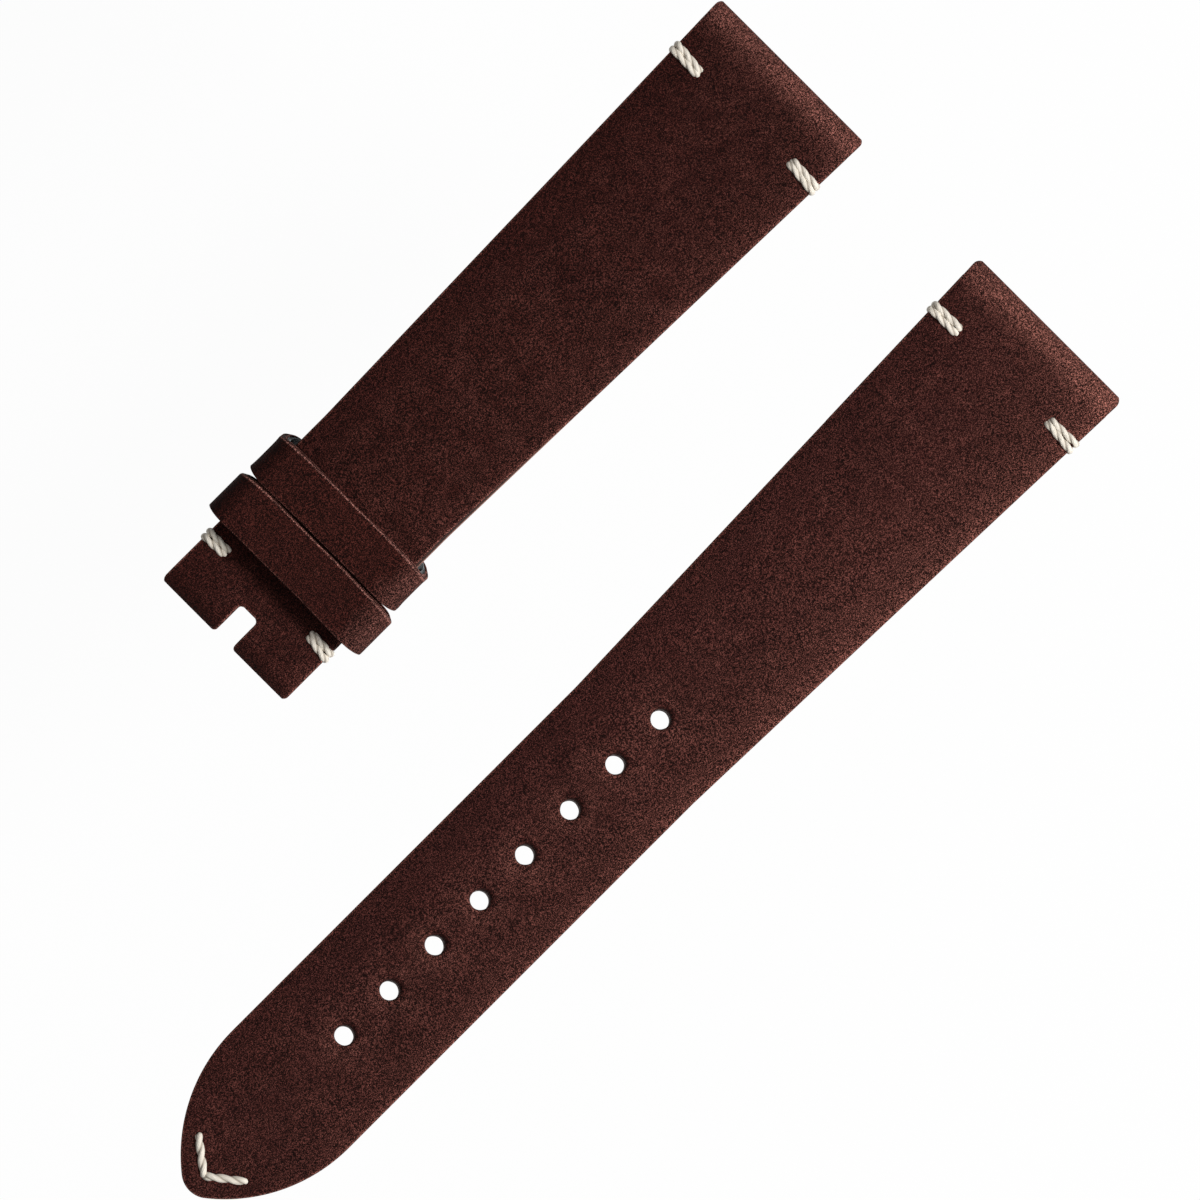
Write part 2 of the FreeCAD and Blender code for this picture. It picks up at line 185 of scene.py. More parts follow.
class Half:
    """Measures of one half of the strap, read from its solids."""

    def __init__(self, name, plain_section, end_section, tail_node, bend_count):
        lug_low, lug_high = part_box(name + "_upper_lug")
        tail_low, tail_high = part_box(tail_node)
        lining_low, lining_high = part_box(name + "_lining_lug")
        stay_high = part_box(name + "_stay_lug")[1]
        self.name = name
        self.middle = (lug_low.y + lug_high.y) / 2
        self.lug_x = lug_high.x
        self.end_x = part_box(name + "_upper_" + end_section)[0].x
        self.lug_half = (lug_high.y - lug_low.y) / 2
        self.tail_half = (tail_high.y - tail_low.y) / 2
        self.base = lining_low.z
        self.glue = lining_high.z
        self.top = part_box(name + "_upper_" + plain_section)[1].z
        self.stay_x = stay_high.x
        self.stay_top = stay_high.z
        self.pad = self.lug_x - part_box(name + "_lug_filler")[0].x
        self.flap = self.lug_x - lining_high.x
        self.bore = mounts[name + "_lug_bore"]["dims"]["r_mm"] * mm
        self.corner = lug_corner[name]
        self.bends = ["%s_bend_%d" % (name, count + 1) for count in range(bend_count)]
        self.bend_places = [joints[bend]["pos_m"][0] for bend in self.bends]

    def half_width(self, x):
        """Distance of the edge from the centre line."""
        share = kept((self.lug_x - x) / taper_length[self.name])
        width = self.lug_half + (self.tail_half - self.lug_half) * share
        return width - corner_loss(self.lug_x - x, self.corner)


hole_mounts = [mount for name, mount in mounts.items() if name.startswith("tongue_hole")]
hole_places = [mount["pos_m"][0] for mount in hole_mounts]
hole_radius = hole_mounts[0]["dims"]["r_mm"] * mm
hole_pitch = hole_places[1] - hole_places[0]
seam_reach = hole_pitch         # from a bend line to the seam between two pieces of a layer
long_strap = Half("long", "tip", "tip", "long_upper_tip", 5)
short_strap = Half("short", "middle", "buckle", "short_buckle_filler", 2)
halves = {"long": long_strap, "short": short_strap}


class Row:
    """One cut across a layer: its outer and inner point in side view, and its edge in plan.

    aim is the direction in plan in which the edge looks. band is half the width of the columns
    beside the centre line, which a cut-out may take.
    """

    def __init__(self, outer, inner, half, aim=(0.0, 1.0), band=hole_band):
        self.outer = Vector(outer)
        self.inner = Vector(inner)
        self.half = half
        self.aim = aim
        self.band = band


# Relief and wear of the leather, from the place on the strap
def side_stitch_place(node):
    """Place along the strap, the two ends across it, and the side of a side stitch."""
    low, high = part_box(node)
    x = (low.x + high.x) / 2
    return (x, low.y, high.y, 1) if node.endswith("left") else (x, high.y, low.y, -1)


def tip_stitch_runs():
    """Both runs of the tip stitch in plan, from their common hole."""
    low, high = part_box("long_tip_stitch")
    radius = thread_radius["tip"]
    point = Vector((low.x + radius, (low.y + high.y) / 2, 0))
    return [(point, Vector((high.x - radius, y, 0))) for y in (low.y + radius, high.y - radius)]


def stitch_runs():
    """Each run of thread on the faces, as (half, hole, other end, width)."""
    runs = []
    reach = thread_radius["lug"]
    for node, (lean, at_hole, at_edge) in stitch_lie.items():
        x, hole_y, edge_y, side = side_stitch_place(node)
        hole = Vector((x + lean / 2, hole_y + side * reach, 0))
        end = Vector((x - lean / 2, edge_y, 0))
        runs.append((halves[node.split("_")[0]], hole, end, at_hole + reach))
    for hole, end in tip_stitch_runs():
        runs.append((long_strap, hole, end, thread_radius["tip"]))
    return runs


thread_runs = stitch_runs()


def run_distance(point, start, end):
    """Distance of a point from a straight run in plan."""
    along = end - start
    share = kept((point - start).dot(along) / along.length_squared)
    return (point - start - along * share).length


def end_distances(half, x):
    """Distances from the ends that are folded round a bore."""
    if half is long_strap:
        return [half.lug_x - x]
    return [half.lug_x - x, x - half.end_x]


def relief(half, x, y, z, inset):
    """Height of the face above the plain one, at a place and a distance from the edge."""
    height = 0.0
    if inset < crown_width:
        height -= crown_drop * (1 - inset / crown_width) ** 2
    across = (y - half.middle) / half.lug_half
    height -= dome_drop * abs(across) ** 2.5
    bore_middle = half.glue + half.bore
    upper_share = kept((z - bore_middle) / (half.top - bore_middle))
    for distance in end_distances(half, x):
        if distance < roll_reach:
            height -= roll_drop * upper_share * (1 - distance / roll_reach) ** 2
    height += swell * noise.noise(Vector((x, y, half.top)) / swell_length)
    point = Vector((x, y, 0))
    for owner, hole, end, width in thread_runs:
        if owner is half and (point - hole).length < dent_reach:
            from_run = run_distance(point, hole, end) / (width * thread_dent_width)
            from_hole = (point - hole).length / hole_dent_radius
            height -= thread_dent * math.exp(-from_run ** 2) + hole_dent * math.exp(-from_hole ** 2)
    return height


def face_wear_and_painted_light(half, x, y, inset):
    """How much the face is rubbed or stretched pale, from 0 to 1, with painted highlight along the right edge and
    at the holes, and painted shade along the left edge.
    """
    from_lug = half.lug_x - x
    wear = plain_wear
    wear += fold_wear * math.exp(-((from_lug - fold_wear_place) / fold_wear_spread) ** 2)
    wear += lug_wear * math.exp(-max(from_lug, 0) / lug_wear_fade)
    right_inset = half.half_width(x) + y - half.middle
    left_inset = half.half_width(x) - y + half.middle
    share = kept((x - half.end_x) / (half.lug_x - half.end_x), *right_edge_highlight_limits)
    # painted highlight along the right arris and the right edge, which face the lamp
    wear += right_arris_painted_highlight * math.exp(-right_inset / right_arris_highlight_fade)
    wear += right_edge_painted_highlight[half.name] * share * math.exp(-right_inset / right_edge_highlight_fade)
    # painted shade along the left edge, which faces away from the lamp
    wear -= left_painted_shade * math.exp(-left_inset / left_painted_shade_fade)
    if half is long_strap:
        for place in hole_places:
            rim = math.hypot(x - place, y - half.middle) - hole_radius
            if rim < halo_reach:
                # painted highlight on the side of the rim away from the lugs, which faces the lamp
                facing = 0.5 - 0.5 * (x - place) / (rim + hole_radius)
                wear += rim_painted_highlight * facing * math.exp(-max(rim, 0) / rim_highlight_fade)
                wear += halo_wear * math.exp(-max(rim, 0) / halo_wear_fade)
    return kept(wear)


# Layers of leather
def quarter(radius, share):
    """Inset and depth on a rounded edge, from the face at share 0 to the side at share 1."""
    angle = share * math.pi / 2
    return radius * (1 - math.sin(angle)), radius * (1 - math.cos(angle))


def side_profile(thickness, face_radius, back_radius):
    """Inset, depth and wear of the points down the side of a layer."""
    limit = thickness * 0.45    # so that both roundings fit
    shares = [index / corner_steps for index in range(corner_steps + 1)]
    points = []
    for share in shares:
        inset, depth = quarter(min(face_radius, limit), share)
        least, more = face_edge_wear
        points.append((inset, depth, least + more * math.sin(math.pi * share)))
    for share in reversed(shares):
        inset, rise = quarter(min(back_radius, limit), share)
        least, more = back_edge_wear
        points.append((inset, thickness - rise, least + more * math.sin(math.pi * share)))
    return points


def columns(reach, band):
    """Places across a row, from the left edge of its face to the right."""
    band = min(band, reach * 0.8)   # narrower at the point of the tip
    right = [band * index / band_columns for index in range(band_columns + 1)]
    right += [band + (reach - band) * index / edge_columns for index in range(1, edge_columns + 1)]
    return [-place for place in reversed(right[1:])] + right


class Layer:
    """How one layer of a half is made: its rounded edges, inset, relief, recess and creep."""

    def __init__(self, half, face_radius, back_radius, inset=0.0, shaped=False, recess=0.0,
                 creep=0.0, face_wear_and_painted_light=0.0):
        self.half = half
        self.face_radius = face_radius
        self.back_radius = back_radius
        self.inset = inset
        self.shaped = shaped
        self.recess = recess
        self.creep = creep
        self.face_wear_and_painted_light = face_wear_and_painted_light

    def edge_shift(self, x, side):
        """How far the right edge draws in from its plan outline, near the keepers."""
        if side > 0 or not self.creep:
            return 0
        to_lug = kept((creep_start - x) / creep_reach)
        to_end = kept((x - self.half.end_x) / creep_reach)
        return -self.creep * eased(min(to_lug, to_end))

    def point(self, row, thickness, side, inset, depth, across=None):
        """A place on the ring, with across given for a place on the face or back."""
        inset += self.inset
        x = row.outer.x + (row.inner.x - row.outer.x) * depth / thickness - row.aim[0] * inset
        z = row.outer.y + (row.inner.y - row.outer.y) * depth / thickness
        edge = row.half - row.aim[1] * inset + self.edge_shift(x, side)
        y = edge * side if across is None else across
        return Vector((x, self.half.middle + y, z))

    def ring(self, row):
        """Points round one cut, with their wear and painted light: face from -Y to +Y, side, back, other side."""
        thickness = (row.inner - row.outer).length
        outward = (row.outer - row.inner).normalized()
        lift = Vector((outward.x, 0, outward.y))
        profile = side_profile(thickness, self.face_radius, self.back_radius)
        ring = []

        def add(place, wear, depth, inset):
            if self.shaped:
                share = 1 - depth / thickness
                height = relief(self.half, place.x, place.y, row.outer.y, inset)
                place = place + lift * height * abs(lift.z) * share
                wear = max(wear, face_wear_and_painted_light(self.half, place.x, place.y, inset) * share)
            ring.append((place, wear))

        def add_flat(edge_inset, depth, wear, order):
            """Adds the points of the face or of the back."""
            reach = max(row.half - row.aim[1] * (self.inset + edge_inset), 0)
            for across in columns(reach, row.band)[::order]:
                side = 1 if across > 0 else -1
                place = self.point(row, thickness, side, edge_inset, depth, across)
                if depth and reach - abs(across) > stay_inset - grid_step:
                    place += lift * min(self.recess, thickness / 2)
                place.y += self.edge_shift(place.x, side) * abs(across) / max(reach, mm) * side
                add(place, wear, depth, reach - abs(across) + edge_inset)

        add_flat(profile[0][0], 0, self.face_wear_and_painted_light, 1)
        for inset, depth, wear in profile[1:-1]:
            add(self.point(row, thickness, 1, inset, depth), wear, depth, inset)
        add_flat(profile[-1][0], thickness, 0, -1)
        for inset, depth, wear in reversed(profile[1:-1]):
            add(self.point(row, thickness, -1, inset, depth), wear, depth, inset)
        return ring


def loft(size, count, first=0, closed=False, skip=lambda ring, index: False):
    """Faces that join rings of points: a closed row of rings, or an open one with its ends."""
    faces = []
    for ring in range(count if closed else count - 1):
        here = first + ring * size
        there = first + (ring + 1) % count * size
        for index in range(size):
            if not skip(ring, index):
                after = (index + 1) % size
                faces.append((here + index, here + after, there + after, there + index))
    if not closed:
        last = first + (count - 1) * size
        faces += [tuple(range(first, first + size)), tuple(range(last, last + size))]
    return faces


class Shell:
    """A closed layer lofted through its rings, with cut-outs through its face and back."""

    def __init__(self, rings):
        self.points = [place for ring in rings for place, wear in ring]
        self.wear = [wear for ring in rings for place, wear in ring]
        self.rows = len(rings)
        self.blocks = []
        self.faces = []

    def add_point(self, place, wear):
        self.points.append(place)
        self.wear.append(wear)
        return len(self.points) - 1

    def cut(self, first, last, profile):
        """Cuts out the block between two rows, and walls the cut-out from face to back.

        profile(face place, back place, row, column) gives a wall's places, and their wear and painted light.
        """
        self.blocks.append((first, last))
        path = [(first, column) for column in range(block_left, block_right)]
        path += [(row, block_right) for row in range(first, last)]
        path += [(last, column) for column in range(block_right, block_left, -1)]
        path += [(row, block_left) for row in range(last, first, -1)]
        strands = []
        for row, column in path:
            face = row * ring_size + column
            back = row * ring_size + face_count + side_count + face_count - 1 - column
            wall = profile(self.points[face], self.points[back], row, column)
            strands.append([face] + [self.add_point(*point) for point in wall] + [back])
        for strand, after in zip(strands, strands[1:] + strands[:1]):
            for step in range(len(strand) - 1):
                self.faces.append((strand[step], after[step], after[step + 1], strand[step + 1]))

    def is_cut(self, row, index):
        """Whether the face from a ring point to the next, past a row, lies in a cut-out."""
        back = index - face_count - side_count
        inside = block_left <= index < block_right or block_left <= back < block_right
        return inside and any(first <= row < last for first, last in self.blocks)

    def mesh(self, name):
        """The object, with the faces that no cut-out takes."""
        self.faces += loft(ring_size, self.rows, skip=self.is_cut)
        return make_mesh(name, self.points, self.faces, self.wear)


def put(name, data):
    """An object of the data, in the scene."""
    thing = bpy.data.objects.new(name, data)
    bpy.context.scene.collection.objects.link(thing)
    return thing


def make_mesh(name, points, faces, wear, rest=None, sharp=math.radians(50)):
    """Object with smooth faces, which keeps each point's rest place, and its wear and painted light, for its
    material.
    """
    data = bpy.data.meshes.new(name)
    data.from_pydata([tuple(place) for place in points], [], faces)
    marks = data.attributes.new("wear", "FLOAT", "POINT")
    marks.data.foreach_set("value", wear)
    places = data.attributes.new("rest", "FLOAT_VECTOR", "POINT")
    places.data.foreach_set("vector", [value for place in (rest or points) for value in place])
    work = bmesh.new()
    work.from_mesh(data)
    bmesh.ops.remove_doubles(work, verts=work.verts, dist=weld)
    bmesh.ops.dissolve_degenerate(work, edges=work.edges, dist=weld / 2)
    bmesh.ops.recalc_face_normals(work, faces=work.faces)
    for face in work.faces:
        face.smooth = True
    for edge in work.edges:
        if len(edge.link_faces) == 2 and edge.calc_face_angle(0) > sharp:
            edge.smooth = False
    work.to_mesh(data)
    work.free()
    return put(name, data)


def divided(start, end, marks=()):
    """Places from start to end about a grid step apart, that include the marks."""
    low, high = min(start, end), max(start, end)
    stops = sorted([low, high] + [mark for mark in marks if low < mark < high])
    if end < start:
        stops.reverse()
    places = [stops[0]]
    for before, after in zip(stops, stops[1:]):
        count = max(1, round(abs(after - before) / grid_step))
        places += [before + (after - before) * index / count for index in range(1, count + 1)]
    return places


def flat_rows(half, start, end, outer_z, inner_z):
    """Rows of a level layer, from near the lug end towards the other end."""
    marks = []
    if half is long_strap:
        marks = [place + side * hole_band for place in hole_places for side in (-1, 1)]
    return [Row((x, outer_z), (x, inner_z), half.half_width(x)) for x in divided(start, end, marks)]


def tip_rows(half, start, outer_z, inner_z):
    """Rows of a level layer that ends in the pointed tip: two side curves and a round nose."""
    arch_x = half.end_x + tip_length
    side_radius = (tip_length ** 2 - 2 * tip_length * tip_nose + half.tail_half ** 2) \
        / (2 * (half.tail_half - tip_nose))
    centre_y = half.tail_half - side_radius
    lean = math.atan2(-centre_y, tip_nose - tip_length)
    rows = flat_rows(half, start, arch_x, outer_z, inner_z)

    def add_arc(centre, radius, first, last, steps):
        for index in range(1, steps + 1):
            angle = first + (last - first) * index / steps
            x = centre[0] + radius * math.cos(angle)
            y = max(centre[1] + radius * math.sin(angle), 0)
            aim = (math.cos(angle), math.sin(angle))
            rows.append(Row((x, outer_z), (x, inner_z), y, aim))

    side_steps = round(side_radius * (lean - math.pi / 2) / grid_step)
    add_arc((arch_x, centre_y), side_radius, math.pi / 2, lean, side_steps)
    add_arc((half.end_x + tip_nose, 0), tip_nose, lean, math.pi, nose_steps)
    return rows


def touch_angle(radius, centre, end):
    """Angle of the point where a line from the end of a pad touches a circle round its bore."""
    run = end[0] - centre
    rise = end[1] - centre
    return math.atan2(rise, run) + math.acos(radius / math.hypot(run, rise))


class Fold:
    """Side view of an end where the upper turns round a bore and back under itself."""

    def __init__(self, half, end_x, inward, bore, pad, flap, band):
        self.half = half
        self.end_x = end_x
        self.inward = inward
        self.bore = bore
        self.pad = pad
        self.flap = flap
        self.band = band
        self.skin = half.glue - half.base
        self.thick = half.top - half.base
        self.roof_end = half.stay_top - half.base
        self.radius = bore + self.skin
        self.crown = touch_angle(self.radius, self.radius, (pad, self.thick))
        self.roof = touch_angle(bore, self.radius, (pad, self.roof_end))

    def place(self, distance, height):
        return self.end_x + self.inward * distance, self.half.base + height

    def on_circle(self, radius, angle):
        return self.radius + radius * math.cos(angle), self.radius + radius * math.sin(angle)

    def top(self, distance):
        """Height of the face, eased where the pad runs out."""
        crown_x, crown_z = self.on_circle(self.radius, self.crown)
        slope = (crown_z - self.thick) / (self.pad - crown_x)
        ease = min(pad_softness, self.pad / 4)
        before = self.pad - distance
        if before > ease:
            return self.thick + slope * before
        return self.thick + slope * max(before + ease, 0) ** 2 / (4 * ease)

    def under(self, distance):
        """Height of the back of the upper, over the filler or the lining."""
        if distance > self.pad + grid_step / 4:
            return self.skin
        roof_x, roof_z = self.on_circle(self.bore, self.roof)
        slope = (roof_z - self.roof_end) / (self.pad - roof_x)
        return self.roof_end + slope * max(self.pad - distance, 0)

    def row(self, outer, inner, distance):
        half_width = self.half.half_width(self.end_x + self.inward * distance)
        if self.inward > 0:
            half_width -= corner_loss(distance, buckle_corner)
        return Row(self.place(*outer), self.place(*inner), half_width, band=self.band(distance))

    def rows(self, seam_x):
        """Rows from a seam to the end, round the bore and back to the end of the flap."""
        crown_x = self.on_circle(self.radius, self.crown)[0]
        marks = [self.pad, self.pad + grid_step / 2, slot_depth + arris]
        marks += [slot_depth - slot_corner * share / 3 for share in range(4)]
        rows = []
        for distance in divided(abs(seam_x - self.end_x), crown_x, marks)[:-1]:
            outer = (distance, self.top(distance))
            rows.append(self.row(outer, (distance, self.under(distance)), distance))
        bottom = 3 * math.pi / 2
        steps = round((bottom - self.crown) / fold_step)
        for index in range(steps + 1):
            share = index / steps
            outer = self.on_circle(self.radius, self.crown + (bottom - self.crown) * share)
            inner = self.on_circle(self.bore, self.roof + (bottom - self.roof) * share)
            rows.append(self.row(outer, inner, outer[0]))
        for distance in divided(self.radius, self.flap, marks)[1:]:
            rows.append(self.row((distance, 0), (distance, self.skin), distance))
        return rows


# Cut-outs
def plain_band(distance):
    """Half the width of the columns beside the centre line, away from the slot."""
    return hole_band


def slot_band(distance):
    """Half the width of the tongue slot at the buckle end, with the rounding of its edges."""
    half = slot_half + arris + corner_loss(max(distance, 0), buckle_corner)
    into_corner = distance - (slot_depth - slot_corner)
    end_share = 0.2             # of the corner's radius, where its curve meets the slot's end
    fade = 2 * mm               # past the slot
    if 0 < into_corner <= slot_corner + arris:
        drop = min(into_corner, slot_corner)
        half -= slot_corner - math.sqrt(slot_corner ** 2 - drop ** 2 * (1 - end_share ** 2))
    elif into_corner > slot_corner:
        past = (into_corner - slot_corner - arris) / fade
        half -= slot_corner * (1 - end_share) * max(1 - past, 0)
    return half


def wall_place(centre, aim, radius, height):
    """Place on the wall of a hole, which was punched a little aslant."""
    uneven = punch_unevenness * noise.noise(aim * punch_waves + centre / mm)
    place = centre + aim * (hole_radius + radius + uneven)
    place.x += punch_slant * (height - (long_strap.top + long_strap.base) / 2)
    place.z = height
    return place


def punched(shell, rows, rim):
    """Punches the holes for the tongue that lie within the rows."""
    places = [row.outer.x for row in rows]
    reach = hole_band * 0.99    # a little less, as the rows' places are rounded
    for hole in hole_places:
        if places[-1] < hole - reach and hole + reach < places[0]:
            gaps = [abs(place - hole - hole_band) for place in places]
            first = gaps.index(min(gaps))
            centre = Vector((hole, long_strap.middle, 0))

            def profile(face, back, row, column):
                aim = Vector((face.x, face.y, 0)) - centre
                aim.normalize()
                thickness = face.z - back.z
                # paleness only on the side of the wall away from the lugs, which faces the lamp: painted highlight
                facing = 0.5 - 0.5 * aim.x
                points = []
                for radius, depth, wear in rim:
                    height = face.z - min(depth, thickness * 0.5)
                    points.append((wall_place(centre, aim, radius, height), wear * facing))
                for radius, rise in back_rim:
                    height = back.z + min(rise, thickness * 0.3)
                    points.append((wall_place(centre, aim, radius, height), 0.0))
                return points

            shell.cut(first, first + 2 * band_columns, profile)


def slotted(shell, rows):
    """Cuts the tongue slot through the fold at the buckle end."""
    slot_end = short_strap.end_x + slot_depth + arris * 1.01
    inside = [index for index, row in enumerate(rows) if row.outer.x <= slot_end]
    first, last = inside[0], inside[-1]
    least, more = slot_edge_wear

    def profile(face, back, row, column):
        aim = Vector((-1 if row in (first, last) else 0, 0, 0))
        if column in (block_left, block_right):
            aim.y = 1 if column == block_left else -1
        down = (back - face).normalized()
        points = []
        for index in range(1, corner_steps + 1):
            inset, depth = quarter(arris, index / corner_steps)
            wear = least + more * math.sin(math.pi * index / corner_steps)
            points.append((face + aim * (arris - inset) + down * depth, wear))
        rise = min(seam, (back - face).length / 2)
        points.append((back + aim * arris - down * rise, slot_back_wear))
        return points

    shell.cut(first, last, profile)


# Pieces of the layers
def dress(thing, finish, nodes):
    """Bakes a piece's place into its mesh, and lets it stand for its solids."""
    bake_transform(thing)
    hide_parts(*nodes)
    thing.data.materials.append(finish)


def settle(thing, body, finish, node):
    """Lets a rigid piece ride on its body and stand for its solid."""
    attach(thing, body)
    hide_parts(node)
    thing.data.materials.append(finish)


def layer_pieces(half, layer_name, finish, layer, make_rows, cut=None):
    """One piece of a layer for each bend line, from seam to seam."""
    sections = [joints[bend]["child"].split("_", 1)[1] for bend in half.bends]
    seams = [place - seam_reach for place in half.bend_places[:-1]] + [None]
    for index, (start, end) in enumerate(zip([None] + seams, seams)):
        rows = make_rows(start, end)
        shell = Shell([layer.ring(row) for row in rows])
        if cut:
            cut(shell, rows)
        thing = shell.mesh("%s_%s_bend_%d_piece" % (half.name, layer_name, index + 1))
        nodes = ["%s_%s_%s" % (half.name, layer_name, sections[index])]
        if index == 0:
            nodes.append("%s_%s_lug" % (half.name, layer_name))
        dress(thing, finish, nodes)


def level_rows(half, first_x, last_x, outer_z, inner_z):
    """Makes the rows of a level layer between two seams, or up to its own ends."""
    def make(start, end):
        start = first_x if start is None else start
        if end is None and half is long_strap:
            return tip_rows(half, start, outer_z, inner_z)
        return flat_rows(half, start, last_x if end is None else end, outer_z, inner_z)
    return make


# Materials
class Value:
    """An output of a node, which adds Math nodes where it meets a sign of arithmetic."""

    def __init__(self, tree, socket):
        self.tree = tree
        self.socket = socket

    def math(self, operation, first, second):
        return self.tree.add("ShaderNodeMath", {"operation": operation}, {0: first, 1: second})

    def __add__(self, other):
        return self.math("ADD", self, other)

    def __radd__(self, other):
        return self.math("ADD", other, self)

    def __sub__(self, other):
        return self.math("SUBTRACT", self, other)

    def __rsub__(self, other):
        return self.math("SUBTRACT", other, self)

    def __mul__(self, other):
        return self.math("MULTIPLY", self, other)

    def __rmul__(self, other):
        return self.math("MULTIPLY", other, self)


class Tree:
    """The nodes of one material, or of the world."""

    def __init__(self, name, owner=None):
        self.owner = owner or bpy.data.materials.new(name)
        self.owner.use_nodes = True
        self.nodes = self.owner.node_tree.nodes
        self.links = self.owner.node_tree.links
        self.nodes.clear()

    def add(self, kind, settings=None, inputs=None, output=0):
        """Adds a node of a type, with its settings and the values or links of its sockets."""
        node = self.nodes.new(kind)
        for key, value in (settings or {}).items():
            setattr(node, key, value)
        for key, value in (inputs or {}).items():
            if isinstance(value, Value):
                self.links.new(value.socket, node.inputs[key])
            else:
                node.inputs[key].default_value = value
        return Value(self, node.outputs[output]) if len(node.outputs) else node

    def attribute(self, name, output):
        return self.add("ShaderNodeAttribute", {"attribute_name": name}, output=output)

    def wear(self):
        return self.attribute("wear", 2)

    def scaled(self, vector, factor):
        """A vector or a colour, made longer or lighter by a factor."""
        inputs = {0: vector, "Scale": factor}
        return self.add("ShaderNodeVectorMath", {"operation": "SCALE"}, inputs)

    def rest_place(self, own_mesh=False):
        """The place on the flat strap in millimetres, also for a solid that keeps its mesh."""
        place = self.add("ShaderNodeTexCoord", output=3) if own_mesh else self.attribute("rest", 1)
        return self.scaled(place, 1 / mm)

    def noise(self, place, scale, detail, roughness):
        """Noise whose features are about one over scale wide."""
        return self.add("ShaderNodeTexNoise", {}, {
            "Vector": place, "Scale": scale, "Detail": detail, "Roughness": roughness})

    def mix(self, share, first, second):
        """Colour between two, each given as a value or as red, green and blue."""
        colours = [colour if isinstance(colour, Value) else (*colour, 1)
                   for colour in (first, second)]
        inputs = {0: share, 6: colours[0], 7: colours[1]}
        return self.add("ShaderNodeMix", {"data_type": "RGBA"}, inputs, 2)

    def speckled(self, share, tone, dark, light):
        """Colour between a darker and a lighter shade of one tone."""
        return self.mix(share, [value * dark for value in tone], [value * light for value in tone])

    def within(self, value, low, high, new_low=0.0, new_high=1.0):
        """A value spread from one range to another, and kept inside it."""
        inputs = {0: value, 1: low, 2: high, 3: new_low, 4: new_high}
        return self.add("ShaderNodeMapRange", {}, inputs)

    def bump(self, height, distance):
        inputs = {"Strength": 1.0, "Distance": distance, "Height": height}
        return self.add("ShaderNodeBump", {}, inputs)

    def finish(self, **inputs):
        """Puts the surface together from its named inputs."""
        named = {key.replace("_", " "): value for key, value in inputs.items()}
        surface = self.add("ShaderNodeBsdfPrincipled", {}, named)
        self.add("ShaderNodeOutputMaterial", {}, {"Surface": surface})
        return self.owner

    def seen_directly(self):
        """1 for the rays of the camera, gloss and glass, 0 for those that light the object."""
        camera, glossy, transmission = [self.add("ShaderNodeLightPath", output="Is %s Ray" % kind)
                                        for kind in ("Camera", "Glossy", "Transmission")]
        return self.within(camera + glossy + transmission, 0.0, 1.0)


# Grain, in features to the millimetre, and the depth of its relief
nap_scale, tips_scale, patch_scale, cloud_scale = 10.5, 4.2, 0.55, 0.09
nap_relief = 0.14 * mm
nap_shades = 0.18, 4.0          # darkest and lightest speck, against the leather's own tone
pale_speck_shades = 0.15, 4.1       # the same where it is rubbed, and where highlight is painted
pore_scale, calf_patch_scale, calf_fibre_scale = 3.0, 0.5, 7.0
calf_relief = 0.03 * mm
split_scale, split_relief = 6.0, 0.04 * mm
weave_scale, tape_fibre_scale, weave_relief = 1.2, 8.0, 0.05 * mm
hair_scale, hair_relief = 9.0, 0.025 * mm


def nubuck(name, tone, pale):
    """Waxed nubuck: a fine nap of light fibre tips over dark leather, paler where rubbed, with painted highlight
    and painted shade from the same mark.
    """
    tree = Tree(name)
    place = tree.rest_place()
    wear = tree.wear()
    nap = tree.noise(place, nap_scale, 1.0, 0.6)
    tips = tree.noise(place, tips_scale, 1.0, 0.5)
    patch = tree.noise(place, patch_scale, 3.0, 0.6)
    cloud = tree.noise(place, cloud_scale, 2.0, 0.5)
    speck = tree.within(nap + (tips - 0.5) * 0.35, 0.46, 0.72)
    # share of the paler colour, for wear and for painted highlight
    rubbed_and_painted_light = tree.within(wear + (patch - 0.5) * 0.35 + (nap - 0.5) * 0.9 * wear, 0.05, 1.05)
    colour = tree.mix(rubbed_and_painted_light, tree.speckled(speck, tone, *nap_shades),
                      tree.speckled(speck, pale, *pale_speck_shades))
    level = 1 + (patch - 0.5) * 0.35 + (cloud - 0.5) * 0.5
    # darker where the mark is below 0: painted shade at the keepers' left ends, and the darker core of their cut
    # edges
    painted_shade_and_dark_core = tree.within(wear, -0.5, 0.0, 0.35, 1.0)
    return tree.finish(
        Base_Color=tree.scaled(colour, level * painted_shade_and_dark_core), Roughness=0.62 + nap * 0.25,
        Normal=tree.bump(nap * 0.6 + tips * 0.4 + patch * 0.5, nap_relief),
        Specular_IOR_Level=0.04, Sheen_Weight=0.02, Sheen_Roughness=0.4,
        Sheen_Tint=(0.62, 0.34, 0.28, 1))


def calf(name, tone):
    """Smooth lining leather with fine pores."""
    tree = Tree(name)
    place = tree.rest_place()
    pores = tree.add("ShaderNodeTexVoronoi", {"feature": "DISTANCE_TO_EDGE"},
                     {"Vector": place, "Scale": pore_scale})
    grain = tree.within(pores, 0.0, 0.12)
    patch = tree.noise(place, calf_patch_scale, 3.0, 0.6)
    fibre = tree.noise(place, calf_fibre_scale, 2.0, 0.6)
    # the mark lightens worn edges; it is negative on the lining's face, as painted shade where that face shows
    # beside the upper
    level = 0.8 + grain * 0.15 + (patch - 0.5) * 0.5 + (fibre - 0.5) * 0.4 + tree.wear() * 2.2
    return tree.finish(
        Base_Color=tree.scaled(tone, level), Roughness=0.55 + fibre * 0.2,
        Normal=tree.bump(grain * 0.3 + fibre * 0.3, calf_relief), Specular_IOR_Level=0.3)


